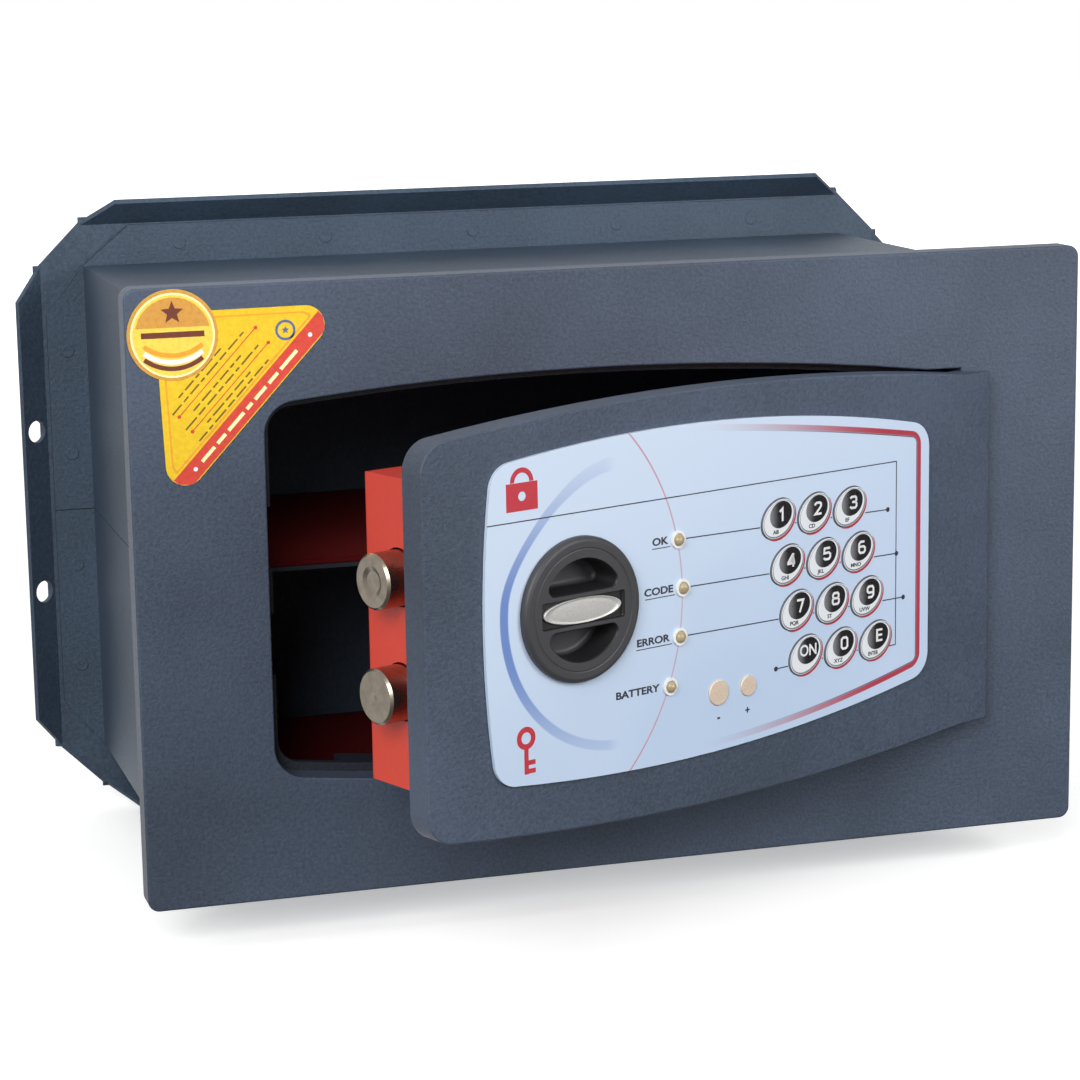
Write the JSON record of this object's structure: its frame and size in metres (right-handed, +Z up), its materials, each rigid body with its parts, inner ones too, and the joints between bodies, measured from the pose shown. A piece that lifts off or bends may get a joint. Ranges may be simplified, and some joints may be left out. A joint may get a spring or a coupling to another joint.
{
  "type": "wall safe",
  "caption": "Built-in steel wall safe with a keypad and a recessed knob on an arched door that stands ajar, a red lock cover with round bolts, a felt-lined shelf and an anchor plate.",
  "frame": {"origin": "centre of the rear face of the anchor plate, against the back of the wall cavity", "axes": "+Z up, +X to the right seen from the front, +Y into the wall"},
  "size_m": [0.365, 0.2938, 0.24],
  "materials": {
    "plate_powder_coat": "fine textured powder coat",
    "body_powder_coat": "fine textured powder coat",
    "red_powder_coat": "satin red",
    "bolt_nickel": "nickel plated, satin",
    "zinc_steel": "zinc plated",
    "spring_steel": "drawn wire",
    "label_film": "printed polycarbonate, satin",
    "knob_plastic": "moulded, fine grain",
    "badge_metal": "satin",
    "key_plastic": "printed key",
    "lamp_bezel": "gloss",
    "lamp_lens": "clear amber",
    "contact_metal": "worn plating",
    "circuit_board": "solder mask",
    "red_felt": "needle felt",
    "battery_jacket": "plain jacket",
    "black_plastic": "moulded",
    "wire_jacket": "PVC",
    "sticker_film": "printed vinyl"
  },
  "bodies": {
    "safe_body": {"front_plate": "plate_powder_coat", "body_shell_upper": "body_powder_coat", "body_shell_lower": "body_powder_coat", "rear_anchor_plate": "body_powder_coat", "door_stop_frame": "body_powder_coat", "shelf": "body_powder_coat", "shelf_felt": "red_felt", "floor_felt": "red_felt", "shelf_rail_left": "body_powder_coat", "shelf_rail_right": "body_powder_coat", "hinge_bracket_upper": "body_powder_coat", "hinge_bracket_lower": "body_powder_coat", "hinge_pin_upper": "zinc_steel", "hinge_pin_lower": "zinc_steel", "hinge_washers": "zinc_steel", "front_sticker": "sticker_film"},
    "door": {"door_plate": "plate_powder_coat", "label_panel": "label_film", "hinge_arm_upper": "body_powder_coat", "hinge_arm_lower": "body_powder_coat", "lock_box": "red_powder_coat", "box_standoffs": "zinc_steel", "box_screws": "zinc_steel", "knob_bush": "zinc_steel", "led_bezels": "lamp_bezel", "led_lamps": "lamp_lens", "contact_minus": "contact_metal", "contact_plus": "contact_metal", "keypad_board": "circuit_board", "control_board": "circuit_board", "battery_tray": "black_plastic", "batteries": "battery_jacket", "battery_cover": "black_plastic", "solenoid_body": "zinc_steel", "carriage_guides": "zinc_steel", "wiring": "wire_jacket", "plunger_spring": "spring_steel"},
    "knob": {"knob_dial": "knob_plastic", "knob_grip": "knob_plastic", "knob_badge": "badge_metal", "knob_spindle": "zinc_steel", "knob_crank": "zinc_steel", "crank_clip": "zinc_steel"},
    "bolt_work": {"bolt_carriage": "zinc_steel", "lock_bolt_upper": "bolt_nickel", "lock_bolt_lower": "bolt_nickel"},
    "plunger": {"solenoid_plunger": "zinc_steel"},
    "button_1": {"key_1": "key_plastic"},
    "button_2": {"key_2": "key_plastic"},
    "button_3": {"key_3": "key_plastic"},
    "button_4": {"key_4": "key_plastic"},
    "button_5": {"key_5": "key_plastic"},
    "button_6": {"key_6": "key_plastic"},
    "button_7": {"key_7": "key_plastic"},
    "button_8": {"key_8": "key_plastic"},
    "button_9": {"key_9": "key_plastic"},
    "button_on": {"key_on": "key_plastic"},
    "button_0": {"key_0": "key_plastic"},
    "button_enter": {"key_enter": "key_plastic"}
  },
  "joints": [
    {"name": "door_hinge", "type": "hinge", "parent": "safe_body", "child": "door", "pos_m": [0.146, -0.175, 0], "axis": [0, 0, 1], "range_deg": [-21.8, 71.2]},
    {"name": "knob_turn", "type": "hinge", "parent": "door", "child": "knob", "pos_m": [-0.0422, -0.27182, 0.0055], "axis": [0.3714, -0.9285, 0], "range_deg": [-40, 49.8]},
    {"name": "bolt_slide", "type": "slide", "parent": "door", "child": "bolt_work", "axis": [-0.9285, -0.3714, 0], "range_m": [-0.0055, 0.0069]},
    {"name": "plunger_slide", "type": "slide", "parent": "door", "child": "plunger", "axis": [0, 0, 1], "range_m": [-0.0018, 0], "stiffness_N_per_m": 60, "springref_m": 0.003, "deforming": ["plunger_spring"]},
    {"name": "press_1", "type": "slide", "parent": "door", "child": "button_1", "axis": [-0.3714, 0.9285, 0], "range_m": [0, 0.0006], "stiffness_N_per_m": 400, "springref_m": -0.0005},
    {"name": "press_2", "type": "slide", "parent": "door", "child": "button_2", "axis": [-0.3714, 0.9285, 0], "range_m": [0, 0.0006], "stiffness_N_per_m": 400, "springref_m": -0.0005},
    {"name": "press_3", "type": "slide", "parent": "door", "child": "button_3", "axis": [-0.3714, 0.9285, 0], "range_m": [0, 0.0006], "stiffness_N_per_m": 400, "springref_m": -0.0005},
    {"name": "press_4", "type": "slide", "parent": "door", "child": "button_4", "axis": [-0.3714, 0.9285, 0], "range_m": [0, 0.0006], "stiffness_N_per_m": 400, "springref_m": -0.0005},
    {"name": "press_5", "type": "slide", "parent": "door", "child": "button_5", "axis": [-0.3714, 0.9285, 0], "range_m": [0, 0.0006], "stiffness_N_per_m": 400, "springref_m": -0.0005},
    {"name": "press_6", "type": "slide", "parent": "door", "child": "button_6", "axis": [-0.3714, 0.9285, 0], "range_m": [0, 0.0006], "stiffness_N_per_m": 400, "springref_m": -0.0005},
    {"name": "press_7", "type": "slide", "parent": "door", "child": "button_7", "axis": [-0.3714, 0.9285, 0], "range_m": [0, 0.0006], "stiffness_N_per_m": 400, "springref_m": -0.0005},
    {"name": "press_8", "type": "slide", "parent": "door", "child": "button_8", "axis": [-0.3714, 0.9285, 0], "range_m": [0, 0.0006], "stiffness_N_per_m": 400, "springref_m": -0.0005},
    {"name": "press_9", "type": "slide", "parent": "door", "child": "button_9", "axis": [-0.3714, 0.9285, 0], "range_m": [0, 0.0006], "stiffness_N_per_m": 400, "springref_m": -0.0005},
    {"name": "press_on", "type": "slide", "parent": "door", "child": "button_on", "axis": [-0.3714, 0.9285, 0], "range_m": [0, 0.0006], "stiffness_N_per_m": 400, "springref_m": -0.0005},
    {"name": "press_0", "type": "slide", "parent": "door", "child": "button_0", "axis": [-0.3714, 0.9285, 0], "range_m": [0, 0.0006], "stiffness_N_per_m": 400, "springref_m": -0.0005},
    {"name": "press_enter", "type": "slide", "parent": "door", "child": "button_enter", "axis": [-0.3714, 0.9285, 0], "range_m": [0, 0.0006], "stiffness_N_per_m": 400, "springref_m": -0.0005}
  ],
  "couplings": [
    {"joint": "knob_turn", "follows": "bolt_slide", "rad_per_m": 125.63}
  ]
}
